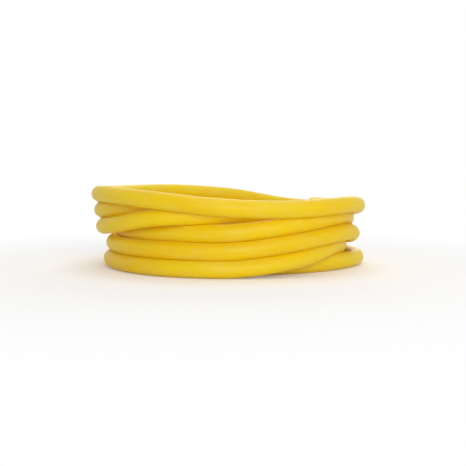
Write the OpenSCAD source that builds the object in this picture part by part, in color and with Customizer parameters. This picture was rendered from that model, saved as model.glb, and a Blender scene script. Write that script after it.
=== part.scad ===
// Coil of soft rubber tubing: one plain round length, wound by hand into seven loose turns
// that lie on and beside each other, with both ends cut square.
// Millimetres, +Z up. It lies on z = 0, and the origin is under the middle of its outline.

/* [Tubing] */
// Outside diameter of the tubing
tube_od = 9; // [6:0.5:12]
// Wall thickness of the tubing
wall = 1.5; // [1:0.25:2]

/* [Coil] */
// Mean diameter of the coil, to the middle of the tubing
coil_d = 140; // [120:2:200]
// Straight length at each cut end
end_straight = 17; // [14:1:24]
// Depth to which each end takes a hose barb
barb_depth = 12; // [6:1:13]

/* [Detail] */
// Flat sides round the tubing's section
sides = 10; // [8:2:12]
// Steps from one station of the lay to the next
steps = 3; // [2:1:3]

/* [Hidden] */

// Every turn passes 12 stations, 30 degrees apart, from the back by way of the left side, the
// front and the right side. The two tables hold how it lies there, one row for each turn from
// the bottom up, both counted in tubing diameters so that touching turns keep touching.
// The outermost two stations only give the ends their direction.
stations = 12;
// How far outside the mean diameter the tubing lies, and inside it where negative
outward = [
    [-3.4, -2.2, -1.4, -1.1, -1.1, -1.1, -1.1, -1.15, -0.4, 0.5, 0.45, 0.3],
    [0.2, 0.1, 0, -0.05, -0.05, 0, 0, 0.05, -0.4, -0.8, -0.85, -0.8],
    [-0.6, -0.45, -0.35, -0.25, -0.2, -0.1, 0, 0.15, 0.35, 0, -0.05, -0.15],
    [-0.25, -0.6, -0.9, -0.95, -0.85, -0.6, 0.1, 0.05, -0.05, -0.3, -0.2, 0.05],
    [0.3, 0.5, 0.45, 0.4, 0.4, 0.25, -0.6, -0.95, -1.2, -1.35, -1.25, -1],
    [-0.6, 0, 0.4, 0.6, -0.1, -0.9, -1.65, -2, -1.75, -1.1, -0.8, -0.4],
    [0.1, 0.4, 0.5, 0.65, 0.65, 0.7, 0.6, 0.6, 0.7, 0.3, 0.25, 0.25]
];
// How far the tubing's underside is lifted off the table
lift = [
    [0, 0, 0, 0, 0, 0, 0, 0, 0, 0, 0, 0],
    [0, 0, 0, 0, 0, 0, 0, 0.45, 1.05, 0.65, 0.25, 0.15],
    [0.65, 0.9, 1, 1.02, 1.02, 1.02, 1.05, 1.5, 1.85, 1.4, 1.1, 1.1],
    [1.65, 1.95, 1.9, 1.8, 1.8, 1.95, 2.1, 2.52, 2.8, 2.4, 2.2, 2.2],
    [2.55, 2.25, 2, 2, 2.3, 2.9, 3.05, 2.75, 2.4, 2, 2, 2.35],
    [3.05, 3.15, 3.05, 3.05, 3.3, 3.35, 3, 2.9, 3.35, 3.1, 3.05, 3.2],
    [3.8, 4.1, 4.1, 4.1, 4.15, 3.9, 3.5, 3.4, 3.55, 3.25, 3.2, 3.25]
];
out_row = [for (turn = outward) each turn];
lift_row = [for (turn = lift) each turn];
first_station = 1;
last_station = len(out_row) - 2;

bore_r = tube_od / 2 - wall;
// The swept bore stays this far inside the round one that is drilled into each end
bore_skin = 0.05;

function unit(v) = v / norm(v);

// Smooth curve through the values of a row, at t stations from its start
function smooth(row, t) =
    let (
        i = floor(t),
        f = t - i,
        a = row[max(i - 1, 0)],
        b = row[i],
        c = row[min(i + 1, len(row) - 1)],
        d = row[min(i + 2, len(row) - 1)]
    )
    b + f / 2 * (c - a + f * (2 * a - 5 * b + 4 * c - d + f * (3 * (b - c) + d - a)));

// Middle of the tubing, t stations along it, about the axis of the coil
function wound(t) =
    let (
        around = 90 + 360 * t / stations,
        r = coil_d / 2 + tube_od * smooth(out_row, t),
        z = tube_od * (0.5 + max(0, smooth(lift_row, t)))
    )
    [r * cos(around), r * sin(around), z];

// Both cut ends lie level and run straight on from the turn next to them
function level(v) = unit([v[0], v[1], 0]);
function way_from(station, to_station) = level(wound(station) - wound(to_station));
start_way = way_from(first_station, first_station + 0.01);
finish_way = way_from(last_station, last_station - 0.01);
turns = [for (k = [first_station * steps : last_station * steps]) wound(k / steps)];
route = [
    wound(first_station) + end_straight * start_way,
    each turns,
    wound(last_station) + end_straight * finish_way
];
n = len(route);

// Direction of the tubing at a point of the route
function along(i) = unit(
    (i > 0 ? unit(route[i] - route[i - 1]) : [0, 0, 0]) +
    (i < n - 1 ? unit(route[i + 1] - route[i]) : [0, 0, 0])
);

// Section of the tubing at a point of the route, with one corner straight down
function section(i, r) =
    let (
        way = along(i),
        across = unit(cross(way, [0, 0, 1])),
        rise = cross(across, way)
    )
    [for (k = [0 : sides - 1])
        let (a = 360 * k / sides - 90)
        route[i] + r * (cos(a) * across + sin(a) * rise)];

outer = [for (i = [0 : n - 1]) each section(i, tube_od / 2)];
inner = [for (i = [0 : n - 1]) each section(i, bore_r - bore_skin)];
xs = [for (p = outer) p[0]];
ys = [for (p = outer) p[1]];
middle = [(min(xs) + max(xs)) / 2, (min(ys) + max(ys)) / 2, 0];

// Corner k of section i in the outer skin, and the same one in the bore
function out_at(i, k) = i * sides + k % sides;
function in_at(i, k) = len(outer) + out_at(i, k);

module swept_tube() {
    skins = [for (i = [0 : n - 2], k = [0 : sides - 1])
        each [
            [out_at(i, k), out_at(i + 1, k), out_at(i + 1, k + 1)],
            [out_at(i, k), out_at(i + 1, k + 1), out_at(i, k + 1)],
            [in_at(i, k), in_at(i + 1, k + 1), in_at(i + 1, k)],
            [in_at(i, k), in_at(i, k + 1), in_at(i + 1, k + 1)]
        ]];
    cuts = [for (k = [0 : sides - 1])
        each [
            [out_at(0, k), out_at(0, k + 1), in_at(0, k + 1)],
            [out_at(0, k), in_at(0, k + 1), in_at(0, k)],
            [out_at(n - 1, k), in_at(n - 1, k + 1), out_at(n - 1, k + 1)],
            [out_at(n - 1, k), in_at(n - 1, k), in_at(n - 1, k + 1)]
        ]];
    polyhedron(points = concat(outer, inner), faces = concat(skins, cuts));
}

// Round bore that a barb fills, drilled into a cut end that faces along way
module barb_bore(mouth, way) {
    past = 1;
    translate(mouth - barb_depth * way)
        rotate([0, 90, atan2(way[1], way[0])])
            cylinder(h = barb_depth + past, r = bore_r, $fn = 48);
}

module tubing() {
    color("goldenrod")
        translate(-middle)
            difference() {
                swept_tube();
                barb_bore(route[0], start_way);
                barb_bore(route[n - 1], finish_way);
            }
}

tubing();
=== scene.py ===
"""A coil of soft yellow rubber tubing, lying on a pale table. Lengths are in metres."""
import math
from itertools import accumulate

import bpy
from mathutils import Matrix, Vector
from mathutils.geometry import intersect_point_line
from mathutils.kdtree import KDTree


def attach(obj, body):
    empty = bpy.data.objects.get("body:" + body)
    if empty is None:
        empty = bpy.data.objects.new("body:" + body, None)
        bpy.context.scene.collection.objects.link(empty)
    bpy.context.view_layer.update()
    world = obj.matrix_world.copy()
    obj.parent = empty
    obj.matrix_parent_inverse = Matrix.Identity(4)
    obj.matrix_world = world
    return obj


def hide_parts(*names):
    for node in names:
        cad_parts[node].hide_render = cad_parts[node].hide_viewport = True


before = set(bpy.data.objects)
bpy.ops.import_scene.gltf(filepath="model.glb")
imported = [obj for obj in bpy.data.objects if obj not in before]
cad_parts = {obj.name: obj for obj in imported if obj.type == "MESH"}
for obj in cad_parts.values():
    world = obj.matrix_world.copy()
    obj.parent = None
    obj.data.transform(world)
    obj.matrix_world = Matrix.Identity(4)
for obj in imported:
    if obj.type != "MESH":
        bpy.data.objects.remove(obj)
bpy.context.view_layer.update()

# The tubing and its coil, as in the CAD model
TUBE_OD = 0.009
WALL = 0.0015
COIL_D = 0.140
END_STRAIGHT = 0.017
STATIONS = 12
BORE_R = TUBE_OD / 2 - WALL

# How each turn lies at its 12 stations, from the back by way of the left side, the front and
# the right side: how far outside the mean diameter, and how far the underside is lifted off
# the table, both in tubing diameters. One row for each turn, from the bottom up.
OUTWARD = [
    [-3.4, -2.2, -1.4, -1.1, -1.1, -1.1, -1.1, -1.15, -0.4, 0.5, 0.45, 0.3],
    [0.2, 0.1, 0, -0.05, -0.05, 0, 0, 0.05, -0.4, -0.8, -0.85, -0.8],
    [-0.6, -0.45, -0.35, -0.25, -0.2, -0.1, 0, 0.15, 0.35, 0, -0.05, -0.15],
    [-0.25, -0.6, -0.9, -0.95, -0.85, -0.6, 0.1, 0.05, -0.05, -0.3, -0.2, 0.05],
    [0.3, 0.5, 0.45, 0.4, 0.4, 0.25, -0.6, -0.95, -1.2, -1.35, -1.25, -1],
    [-0.6, 0, 0.4, 0.6, -0.1, -0.9, -1.65, -2, -1.75, -1.1, -0.8, -0.4],
    [0.1, 0.4, 0.5, 0.65, 0.65, 0.7, 0.6, 0.6, 0.7, 0.3, 0.25, 0.25],
]
LIFT = [
    [0, 0, 0, 0, 0, 0, 0, 0, 0, 0, 0, 0],
    [0, 0, 0, 0, 0, 0, 0, 0.45, 1.05, 0.65, 0.25, 0.15],
    [0.65, 0.9, 1, 1.02, 1.02, 1.02, 1.05, 1.5, 1.85, 1.4, 1.1, 1.1],
    [1.65, 1.95, 1.9, 1.8, 1.8, 1.95, 2.1, 2.52, 2.8, 2.4, 2.2, 2.2],
    [2.55, 2.25, 2, 2, 2.3, 2.9, 3.05, 2.75, 2.4, 2, 2, 2.35],
    [3.05, 3.15, 3.05, 3.05, 3.3, 3.35, 3, 2.9, 3.35, 3.1, 3.05, 3.2],
    [3.8, 4.1, 4.1, 4.1, 4.15, 3.9, 3.5, 3.4, 3.55, 3.25, 3.2, 3.25],
]
OUT_ROW = [value for turn in OUTWARD for value in turn]
LIFT_ROW = [value for turn in LIFT for value in turn]
# The outermost two stations only give the ends their direction
FIRST_STATION = 1
LAST_STATION = len(OUT_ROW) - 2
# That direction is taken over this part of a station
END_STEP = 0.01

# The CAD model's tubing has this many sides, and steps between stations
CAD_SIDES = 10
CAD_STEPS = 3

# The finished tubing: a section every 2.5 degrees of a turn, and a softened edge at each cut
STEPS = 12
SIDES = 36
CUT_EDGE = 0.00015
# Sections along that edge, as parts of its depth: about every 30 degrees of its quarter circle
EDGE_SECTIONS = (0, 0.13, 0.5, 1)
# Points of the skin, the bore and the cut faces that lie closer than this become one
WELD = 1e-6

# The skin gives way until it meets what it lies on: fully where its gap is under the first of
# these, and less and less up to the second. The gap is half of that between two turns, or all
# of that to the table.
TURN_PRESS = (0.0004, 0.0009)
TABLE_PRESS = (0.0001, 0.00025)
# The cuts stay round, and the tubing gives way fully from this far behind them
ROUND_END = 0.018
# Tubing that is closer than this along its own length doesn't press on itself
SAME_TURN = 4 * TUBE_OD

# Sizes in the rubber's skin, across, up and along the tubing: slow changes of tone, patches of
# powder, whose pale colour is partly a painted sheen, streaks from the die, drawn coarser than
# the real 0.2 mm so that they show, and grain
TONE = (0.02, 0.02, 0.07)
POWDER_AND_SHEEN = (0.004, 0.004, 0.012)
STREAKS = (0.0008, 0.0008, 0.06)
GRAIN = (0.0004, 0.0004, 0.0004)
# Drag marks of the knife, in the plane of the cut and alike on both cuts
DRAG_MARKS = (0.0003, 0.004, math.inf)
# How deep the streaks, the grain and the drag marks are
STREAK_DEPTH = 0.00007
GRAIN_DEPTH = 0.00003
DRAG_DEPTH = 0.00005

# Natural rubber is milky: much of the light goes into it, red a few millimetres deep, green
# less deep, and blue hardly at all
RUBBER = {
    "IOR": 1.52,
    "Subsurface Weight": 0.6,
    "Subsurface Radius": (1.0, 0.6, 0.1),
    "Subsurface Scale": 0.004,
}

# The table is square, and turns to plain white between two distances from the coil's middle
TABLE_HALF_WIDTH = 3
FADE_FROM = 0.09
FADE_TO = 0.3
# How much brighter the table looks than the light on it makes it
TABLE_LIFT = 0.18
# How strongly the room lights the coil from all round
ROOM_LIGHT = 0.42

# The photograph's width, the tubing's thickness in it, and the middle of the coil, in pixels
FRAME_PX = 466
TUBE_PX = 15.2
COIL_MIDDLE_PX = 230
# The view of the coil: how far away and how far above level the eye is, and where it looks
EYE_DISTANCE = 0.4725
EYE_ANGLE = math.radians(4.3)
AIM_HEIGHT = 0.018
SENSOR_MM = 36

WHITE = (1, 1, 1, 1)


def smooth(row, t):
    """Smooth curve through the values of a row, t stations from its start."""
    i = math.floor(t)
    f = t - i
    a = row[max(i - 1, 0)]
    b = row[i]
    c = row[min(i + 1, len(row) - 1)]
    d = row[min(i + 2, len(row) - 1)]
    return b + f / 2 * (c - a + f * (2 * a - 5 * b + 4 * c - d + f * (3 * (b - c) + d - a)))


def wound(t):
    """Middle of the tubing, t stations along it, about the axis of the coil."""
    around = math.radians(90 + 360 * t / STATIONS)
    r = COIL_D / 2 + TUBE_OD * smooth(OUT_ROW, t)
    z = TUBE_OD * (0.5 + max(0, smooth(LIFT_ROW, t)))
    return Vector((r * math.cos(around), r * math.sin(around), z))


def way_from(station, to_station):
    """Level direction in which a cut end runs on, away from the turn next to it."""
    way = wound(station) - wound(to_station)
    way.z = 0
    return way.normalized()


START_WAY = way_from(FIRST_STATION, FIRST_STATION + END_STEP)
FINISH_WAY = way_from(LAST_STATION, LAST_STATION - END_STEP)


def turns(steps):
    """Middle of the tubing along all the turns, without the straight ends."""
    return [wound(k / steps) for k in range(FIRST_STATION * steps, LAST_STATION * steps + 1)]


def coil_axis():
    """Where the axis of the coil stands when the outline of the CAD tubing is centred."""
    points = turns(CAD_STEPS)
    points = [points[0] + END_STRAIGHT * START_WAY, *points, points[-1] + END_STRAIGHT * FINISH_WAY]
    corners = []
    for i, point in enumerate(points):
        way = Vector()
        if i > 0:
            way += (point - points[i - 1]).normalized()
        if i < len(points) - 1:
            way += (points[i + 1] - point).normalized()
        across = way.normalized().cross(Vector((0, 0, 1))).normalized()
        rise = across.cross(way.normalized())
        for k in range(CAD_SIDES):
            a = math.radians(360 * k / CAD_SIDES - 90)
            corners.append(point + TUBE_OD / 2 * (math.cos(a) * across + math.sin(a) * rise))
    xs = [corner.x for corner in corners]
    ys = [corner.y for corner in corners]
    return Vector((-(min(xs) + max(xs)) / 2, -(min(ys) + max(ys)) / 2, 0))


AXIS = coil_axis()


def route():
    """Middle of the tubing from cut to cut, with close points where the cut edges are softened."""
    winding = [AXIS + point for point in turns(STEPS)]
    spacing = (winding[1] - winding[0]).length
    run = round(END_STRAIGHT / spacing)
    back_from_cut = [part * CUT_EDGE for part in EDGE_SECTIONS]
    back_from_cut += [END_STRAIGHT * k / run for k in range(1, run)]
    start = [winding[0] + (END_STRAIGHT - back) * START_WAY for back in back_from_cut]
    finish = [winding[-1] + (END_STRAIGHT - back) * FINISH_WAY for back in back_from_cut]
    return start + winding + finish[::-1]


ROUTE = route()
# How far along the tubing each point of the route is
ALONG = [0.0, *accumulate((b - a).length for a, b in zip(ROUTE, ROUTE[1:]))]
LENGTH = ALONG[-1]


def add_camera():
    """Eye level of the photograph: just above the coil, and close enough that its front
    turns look larger than its back ones."""
    data = bpy.data.cameras.new("camera")
    data.sensor_width = SENSOR_MM
    focal_px = TUBE_PX * EYE_DISTANCE / TUBE_OD
    data.lens = SENSOR_MM * focal_px / FRAME_PX
    camera = bpy.data.objects.new("camera", data)
    bpy.context.scene.collection.objects.link(camera)
    px_right = FRAME_PX / 2 - COIL_MIDDLE_PX
    aim = AXIS + Vector((px_right * TUBE_OD / TUBE_PX, 0, AIM_HEIGHT))
    back = Vector((0, -math.cos(EYE_ANGLE), math.sin(EYE_ANGLE)))
    camera.location = aim + EYE_DISTANCE * back
    camera.rotation_euler = (math.pi / 2 - EYE_ANGLE, 0, 0)
    bpy.context.scene.camera = camera


def add_node(tree, kind, inputs=None, **settings):
    """A node with its settings. Each input is a value, or the socket or the node that feeds it,
    and goes by its number where several inputs share a name."""
    node = tree.nodes.new(kind)
    for name, value in settings.items():
        setattr(node, name, value)
    for key, value in (inputs or {}).items():
        if isinstance(value, bpy.types.Node):
            value = value.outputs[0]
        if isinstance(value, bpy.types.NodeSocket):
            tree.links.new(value, node.inputs[key])
        else:
            node.inputs[key].default_value = value
    return node


def linear(hex_colour):
    """Linear colour from an sRGB hex value."""
    channels = [int(hex_colour[i : i + 2], 16) / 255 for i in (1, 3, 5)]
    return (*[c / 12.92 if c <= 0.04045 else ((c + 0.055) / 1.055) ** 2.4 for c in channels], 1)


def tube_inputs(tree):
    """Inputs of the swept tube: its route, its sizes and its two materials."""
    kinds = {
        "Route": "NodeSocketGeometry",
        "Outer Radius": "NodeSocketFloat",
        "Bore Radius": "NodeSocketFloat",
        "Cut Edge": "NodeSocketFloat",
        "Sides": "NodeSocketInt",
        "Skin": "NodeSocketMaterial",
        "Cut Face": "NodeSocketMaterial",
    }
    for name, kind in kinds.items():
        tree.interface.new_socket(name, in_out="INPUT", socket_type=kind)
    return add_node(tree, "NodeGroupInput").outputs


def edge_setback(tree, given, along):
    """How far the wall is set back at each point of the route, so that the edges of both cuts
    are soft: by a quarter circle over the last stretch before a cut, and not at all elsewhere."""
    edge = given["Cut Edge"]
    whole = add_node(tree, "GeometryNodeCurveLength", {"Curve": given["Route"]})
    to_finish = add_node(tree, "ShaderNodeMath", {0: whole, 1: along}, operation="SUBTRACT")
    from_cut = add_node(tree, "ShaderNodeMath", {0: along, 1: to_finish}, operation="MINIMUM")
    short_of = add_node(tree, "ShaderNodeMath", {0: edge, 1: from_cut}, operation="SUBTRACT")
    side = add_node(tree, "ShaderNodeMath", {0: short_of, 1: 0.0}, operation="MAXIMUM")
    edge_squared = add_node(tree, "ShaderNodeMath", {0: edge, 1: 2.0}, operation="POWER")
    side_squared = add_node(tree, "ShaderNodeMath", {0: side, 1: 2.0}, operation="POWER")
    height_squared = add_node(
        tree, "ShaderNodeMath", {0: edge_squared, 1: side_squared}, operation="SUBTRACT"
    )
    height = add_node(tree, "ShaderNodeMath", {0: height_squared}, operation="SQRT")
    return add_node(tree, "ShaderNodeMath", {0: edge, 1: height}, operation="SUBTRACT")


def swept_skin(tree, curve, sides, radius, change, setback):
    """One side of the wall: a ring swept along the curve, with the setback added to its radius
    or taken from it."""
    changed = add_node(tree, "ShaderNodeMath", {0: radius, 1: setback}, operation=change)
    size = add_node(tree, "ShaderNodeMath", {0: changed, 1: radius}, operation="DIVIDE")
    ring = add_node(
        tree, "GeometryNodeCurvePrimitiveCircle", {"Resolution": sides, "Radius": radius}
    )
    return add_node(
        tree, "GeometryNodeCurveToMesh", {"Curve": curve, "Profile Curve": ring, "Scale": size}
    )


def faced_ends(tree, given, outside, middle):
    """The outside with its open edges carried in to the bore, and which faces that makes: the
    flat face of each cut."""
    faces_at_edge = add_node(tree, "GeometryNodeInputMeshEdgeNeighbors")
    open_edge = add_node(
        tree, "FunctionNodeCompare", {2: faces_at_edge, 3: 1}, data_type="INT", operation="EQUAL"
    )
    cut = add_node(
        tree,
        "GeometryNodeExtrudeMesh",
        {"Mesh": outside, "Selection": open_edge, "Offset Scale": 0.0},
        mode="EDGES",
    ).outputs
    position = add_node(tree, "GeometryNodeInputPosition")
    radial = add_node(tree, "ShaderNodeVectorMath", {0: position, 1: middle}, operation="SUBTRACT")
    spoke = add_node(tree, "ShaderNodeVectorMath", {0: radial}, operation="NORMALIZE")
    rim = add_node(
        tree, "ShaderNodeMath", {0: given["Bore Radius"], 1: given["Cut Edge"]}, operation="ADD"
    )
    to_rim = add_node(tree, "ShaderNodeVectorMath", {0: spoke, "Scale": rim}, operation="SCALE")
    at_rim = add_node(tree, "ShaderNodeVectorMath", {0: middle, 1: to_rim}, operation="ADD")
    faced = add_node(
        tree,
        "GeometryNodeSetPosition",
        {"Geometry": cut["Mesh"], "Selection": cut["Top"], "Position": at_rim},
    )
    return faced, cut["Side"]


def straightened_place(tree, middle, way, from_start):
    """Place of each point as if the tubing were pulled straight: across, up and along it."""
    position = add_node(tree, "GeometryNodeInputPosition")
    radial = add_node(tree, "ShaderNodeVectorMath", {0: position, 1: middle}, operation="SUBTRACT")
    level = add_node(
        tree, "ShaderNodeVectorMath", {0: way, 1: (0, 0, 1)}, operation="CROSS_PRODUCT"
    )
    across = add_node(tree, "ShaderNodeVectorMath", {0: level}, operation="NORMALIZE")
    rise = add_node(tree, "ShaderNodeVectorMath", {0: across, 1: way}, operation="CROSS_PRODUCT")
    x = add_node(tree, "ShaderNodeVectorMath", {0: radial, 1: across}, operation="DOT_PRODUCT")
    y = add_node(tree, "ShaderNodeVectorMath", {0: radial, 1: rise}, operation="DOT_PRODUCT")
    return add_node(
        tree,
        "ShaderNodeCombineXYZ",
        {"X": x.outputs["Value"], "Y": y.outputs["Value"], "Z": from_start},
    )


def swept_tube_tree():
    """Geometry Nodes that sweep a hollow tube along a route, with square cut ends. Each point
    keeps its place in the straightened tubing, which the materials read."""
    tree = bpy.data.node_groups.new("swept_tube", "GeometryNodeTree")
    given = tube_inputs(tree)
    tree.interface.new_socket("Tubing", in_out="OUTPUT", socket_type="NodeSocketGeometry")
    upright = add_node(tree, "GeometryNodeSetCurveNormal", {"Curve": given["Route"]}, mode="Z_UP")
    along = add_node(tree, "GeometryNodeSplineParameter").outputs["Length"]

    # Each section keeps its middle, its direction and how far from the start it is
    keep = add_node(tree, "GeometryNodeCaptureAttribute", {"Geometry": upright}, domain="POINT")
    keep.capture_items.new("VECTOR", "middle")
    keep.capture_items.new("VECTOR", "way")
    keep.capture_items.new("FLOAT", "from_start")
    position = add_node(tree, "GeometryNodeInputPosition")
    tree.links.new(position.outputs[0], keep.inputs["middle"])
    tangent = add_node(tree, "GeometryNodeInputTangent")
    tree.links.new(tangent.outputs[0], keep.inputs["way"])
    tree.links.new(along, keep.inputs["from_start"])
    curve, middle, way, from_start = keep.outputs[:4]

    setback = edge_setback(tree, given, along)
    sides = given["Sides"]
    outside = swept_skin(tree, curve, sides, given["Outer Radius"], "SUBTRACT", setback)
    inside = swept_skin(tree, curve, sides, given["Bore Radius"], "ADD", setback)
    bore = add_node(tree, "GeometryNodeFlipFaces", {"Mesh": inside})
    faced, cut_faces = faced_ends(tree, given, outside, middle)
    joined = add_node(tree, "GeometryNodeJoinGeometry", {0: bore})
    tree.links.new(faced.outputs[0], joined.inputs[0])
    closed = add_node(tree, "GeometryNodeMergeByDistance", {"Geometry": joined, "Distance": WELD})
    place = straightened_place(tree, middle, way, from_start)
    placed = add_node(
        tree,
        "GeometryNodeStoreNamedAttribute",
        {"Geometry": closed, "Name": "straightened", "Value": place},
        data_type="FLOAT_VECTOR",
        domain="POINT",
    )
    shaded = add_node(tree, "GeometryNodeSetShadeSmooth", {"Geometry": placed})
    real = add_node(tree, "GeometryNodeRealizeInstances", {"Geometry": shaded})
    skinned = add_node(
        tree, "GeometryNodeSetMaterial", {"Geometry": real, "Material": given["Skin"]}
    )
    finished = add_node(
        tree,
        "GeometryNodeSetMaterial",
        {"Geometry": skinned, "Selection": cut_faces, "Material": given["Cut Face"]},
    )
    add_node(tree, "NodeGroupOutput", {"Tubing": finished})
    return tree


def pressed(gap, limits):
    """How far a soft skin is pressed out over a gap."""
    full, none = limits
    t = min(max((gap - full) / (none - full), 0), 1)
    return gap * (1 - t * t * (3 - 2 * t))


def nearest_on_route(spot, i):
    """Nearest place to a spot on the two stretches that meet at point i of the route."""
    ends = ROUTE[max(i - 1, 0) : i + 2]
    feet = [intersect_point_line(spot, a, b)[0] for a, b in zip(ends, ends[1:])]
    return min(feet, key=lambda foot: (foot - spot).length)


def press_turns(mesh):
    """Flattens the soft tubing a little where it lies on another turn or on the table."""
    tree = KDTree(len(ROUTE))
    for i, point in enumerate(ROUTE):
        tree.insert(point, i)
    tree.balance()
    radius = TUBE_OD / 2
    spacing = max(b - a for a, b in zip(ALONG, ALONG[1:]))
    reach = radius + 2 * TURN_PRESS[1] + spacing
    straightened = mesh.attributes["straightened"].data
    for vertex, place in zip(mesh.vertices, straightened):
        x, y, along = place.vector
        # The bore stays round
        if math.hypot(x, y) < radius - 2 * CUT_EDGE:
            continue
        spot = vertex.co.copy()
        near = [i for _, i, _ in tree.find_range(spot, reach)]
        others = [i for i in near if abs(ALONG[i] - along) > SAME_TURN]
        if others:
            away = nearest_on_route(spot, others[0]) - spot
            give = min(along / ROUND_END, (LENGTH - along) / ROUND_END, 1)
            push = give * pressed((away.length - radius) / 2, TURN_PRESS)
            vertex.co = spot + push * away.normalized()
        vertex.co.z -= pressed(vertex.co.z, TABLE_PRESS)


def route_curve():
    """The route as an open curve, for the sweep."""
    data = bpy.data.curves.new("route", "CURVE")
    data.dimensions = "3D"
    spline = data.splines.new("POLY")
    spline.points.add(len(ROUTE) - 1)
    for point, place in zip(spline.points, ROUTE):
        point.co = (*place, 1)
    curve = bpy.data.objects.new("route", data)
    bpy.context.scene.collection.objects.link(curve)
    return curve


def make_tubing(skin, cut_face):
    """The tubing as a plain mesh, from the swept tube of the node tree."""
    curve = route_curve()
    tree = swept_tube_tree()
    sweep = curve.modifiers.new("sweep", "NODES")
    sweep.node_group = tree
    sizes = {
        "Outer Radius": TUBE_OD / 2,
        "Bore Radius": BORE_R,
        "Cut Edge": CUT_EDGE,
        "Sides": SIDES,
        "Skin": skin,
        "Cut Face": cut_face,
    }
    for socket in tree.interface.items_tree:
        if socket.name in sizes:
            sweep[socket.identifier] = sizes[socket.name]
    evaluated = curve.evaluated_get(bpy.context.evaluated_depsgraph_get())
    mesh = bpy.data.meshes.new_from_object(evaluated)
    mesh.name = "rubber_tubing"
    curve.modifiers.remove(sweep)
    bpy.data.objects.remove(curve)
    press_turns(mesh)
    tubing = bpy.data.objects.new("rubber_tubing", mesh)
    bpy.context.scene.collection.objects.link(tubing)
    return tubing


def sized_noise(tree, place, size, detail=2.0):
    """Noise whose blotches have a real size, in metres, across, up and along the tubing."""
    per_metre = tuple(1 / length for length in size)
    fitted = add_node(
        tree, "ShaderNodeVectorMath", {0: place, 1: per_metre}, operation="MULTIPLY"
    )
    return add_node(
        tree, "ShaderNodeTexNoise", {"Vector": fitted, "Scale": 1.0, "Detail": detail}
    )


def new_material(name):
    """A new material, and its node tree, empty."""
    material = bpy.data.materials.new(name)
    material.use_nodes = True
    material.node_tree.nodes.clear()
    return material, material.node_tree


def extruded_rubber():
    """Extruded natural rubber. It is milky and lets light through, so the grooves between the
    turns glow amber. Its skin is satin from the powder it is dusted with, whose pale colour is
    partly real dust and partly a painted sheen, and the die leaves faint streaks along it."""
    material, tree = new_material("extruded_natural_rubber")
    place = add_node(tree, "ShaderNodeAttribute", attribute_name="straightened").outputs["Vector"]
    # Pattern of the powder: it roughens the skin and lays on a pale colour that is partly dust and
    # partly painted sheen
    powder_and_sheen = sized_noise(tree, place, POWDER_AND_SHEEN, detail=4.0)
    streaks = sized_noise(tree, place, STREAKS, detail=3.0)
    tone = add_node(
        tree,
        "ShaderNodeMapRange",
        {"Value": sized_noise(tree, place, TONE), "From Min": 0.35, "From Max": 0.65},
    )
    yellow = add_node(
        tree,
        "ShaderNodeMix",
        {0: tone, 6: linear("#F6C60A"), 7: linear("#FAD012")},
        data_type="RGBA",
    )
    # Painted sheen: the pale powder colour stands partly for real dust and partly for a pale satin
    # highlight over the whole skin
    dust_and_painted_sheen = add_node(
        tree,
        "ShaderNodeMapRange",
        {"Value": powder_and_sheen, "From Min": 0.45, "From Max": 0.75, "To Min": 0.0, "To Max": 0.17},
    )
    colour = add_node(
        tree,
        "ShaderNodeMix",
        {0: dust_and_painted_sheen, 6: yellow.outputs[2], 7: linear("#F3D98C")},
        data_type="RGBA",
    )
    roughness = add_node(
        tree,
        "ShaderNodeMapRange",
        {"Value": powder_and_sheen, "From Min": 0.3, "From Max": 0.7, "To Min": 0.38, "To Max": 0.52},
    )
    grained = add_node(
        tree,
        "ShaderNodeBump",
        {"Strength": 0.35, "Distance": GRAIN_DEPTH, "Height": sized_noise(tree, place, GRAIN)},
    )
    drawn = add_node(
        tree,
        "ShaderNodeBump",
        {"Strength": 0.6, "Distance": STREAK_DEPTH, "Height": streaks, "Normal": grained},
    )
    shader = add_node(
        tree,
        "ShaderNodeBsdfPrincipled",
        {
            **RUBBER,
            "Base Color": colour.outputs[2],
            "Roughness": roughness,
            "Specular IOR Level": 0.22,
            "Normal": drawn,
        },
    )
    add_node(tree, "ShaderNodeOutputMaterial", {"Surface": shader})
    return material


def cut_rubber():
    """Natural rubber where a knife went through it: no powder, dull, and with the faint parallel
    drag marks of the blade."""
    material, tree = new_material("knife_cut_natural_rubber")
    place = add_node(tree, "ShaderNodeAttribute", attribute_name="straightened").outputs["Vector"]
    marks = sized_noise(tree, place, DRAG_MARKS)
    colour = add_node(
        tree,
        "ShaderNodeMix",
        {0: marks, 6: linear("#E9BC4A"), 7: linear("#F2CC62")},
        data_type="RGBA",
    )
    dragged = add_node(
        tree, "ShaderNodeBump", {"Strength": 0.5, "Distance": DRAG_DEPTH, "Height": marks}
    )
    shader = add_node(
        tree,
        "ShaderNodeBsdfPrincipled",
        {**RUBBER, "Base Color": colour.outputs[2], "Roughness": 0.62, "Normal": dragged},
    )
    add_node(tree, "ShaderNodeOutputMaterial", {"Surface": shader})
    return material


def seen_directly(tree):
    """1 where a surface is seen by the camera, in a gloss or through glass, else 0."""
    path = add_node(tree, "ShaderNodeLightPath").outputs
    seen = path["Is Camera Ray"]
    for ray in ("Is Glossy Ray", "Is Transmission Ray"):
        seen = add_node(tree, "ShaderNodeMath", {0: seen, 1: path[ray]}, operation="MAXIMUM")
    return seen


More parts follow.
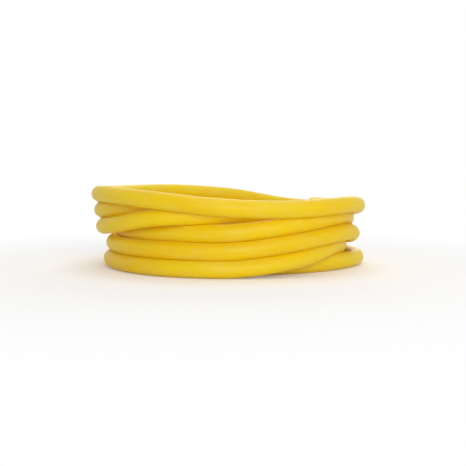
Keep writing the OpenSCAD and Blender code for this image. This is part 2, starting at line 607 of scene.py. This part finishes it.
def white_table():
    """White laminate, matt. It keeps the shadow near the coil and fades to plain white round it."""
    material, tree = new_material("white_laminate")
    place = add_node(tree, "ShaderNodeTexCoord").outputs["Object"]
    far = add_node(tree, "ShaderNodeVectorMath", {0: place}, operation="LENGTH").outputs["Value"]
    faded = add_node(
        tree,
        "ShaderNodeMapRange",
        {"Value": far, "From Min": FADE_FROM, "From Max": FADE_TO},
        interpolation_type="SMOOTHSTEP",
    )
    seen = seen_directly(tree)
    fade = add_node(tree, "ShaderNodeMath", {0: faded, 1: seen}, operation="MULTIPLY")
    lift = add_node(tree, "ShaderNodeMath", {0: seen, 1: TABLE_LIFT}, operation="MULTIPLY")
    matt = add_node(tree, "ShaderNodeBsdfDiffuse", {"Color": linear("#F2F2F2")})
    bright = add_node(tree, "ShaderNodeEmission", {"Color": WHITE, "Strength": lift})
    table = add_node(tree, "ShaderNodeAddShader", {0: matt, 1: bright})
    white = add_node(tree, "ShaderNodeEmission", {"Color": WHITE, "Strength": 1.0})
    mixed = add_node(tree, "ShaderNodeMixShader", {0: fade, 1: table, 2: white})
    add_node(tree, "ShaderNodeOutputMaterial", {"Surface": mixed})
    return material


def add_floor():
    """The table top, square and far wider than the view."""
    mesh = bpy.data.meshes.new("floor")
    signs = ((-1, -1), (1, -1), (1, 1), (-1, 1))
    corners = [(x * TABLE_HALF_WIDTH, y * TABLE_HALF_WIDTH, 0) for x, y in signs]
    mesh.from_pydata(corners, [], [(0, 1, 2, 3)])
    mesh.materials.append(white_table())
    floor = bpy.data.objects.new("floor", mesh)
    bpy.context.scene.collection.objects.link(floor)


def add_softbox(name, place, size, watts):
    """A round lamp that shines at the coil."""
    data = bpy.data.lights.new(name, "AREA")
    data.shape = "DISK"
    data.size = size
    data.energy = watts
    lamp = bpy.data.objects.new(name, data)
    lamp.location = place
    aim = Vector((0, 0, AIM_HEIGHT)) - Vector(place)
    lamp.rotation_euler = aim.to_track_quat("-Z", "Y").to_euler()
    bpy.context.scene.collection.objects.link(lamp)


def add_world():
    """A pale room all round, seen as plain white."""
    world = bpy.data.worlds.new("studio")
    bpy.context.scene.world = world
    world.use_nodes = True
    tree = world.node_tree
    tree.nodes.clear()
    light = add_node(tree, "ShaderNodeBackground", {"Color": WHITE, "Strength": ROOM_LIGHT})
    white = add_node(tree, "ShaderNodeBackground", {"Color": WHITE, "Strength": 1.0})
    mixed = add_node(tree, "ShaderNodeMixShader", {0: seen_directly(tree), 1: light, 2: white})
    add_node(tree, "ShaderNodeOutputWorld", {"Surface": mixed})


bpy.context.scene.view_settings.view_transform = "Standard"
add_camera()
tubing = make_tubing(extruded_rubber(), cut_rubber())
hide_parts("tubing")
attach(tubing, "root")
add_floor()
add_softbox("front_softbox", place=(0.2, -1.1, 0.22), size=0.9, watts=7.7)
add_softbox("top_softbox", place=(0.1, 0.1, 1.1), size=1.0, watts=3.5)
add_softbox("back_softbox", place=(0.1, 1.1, 0.5), size=0.9, watts=3.3)
add_world()
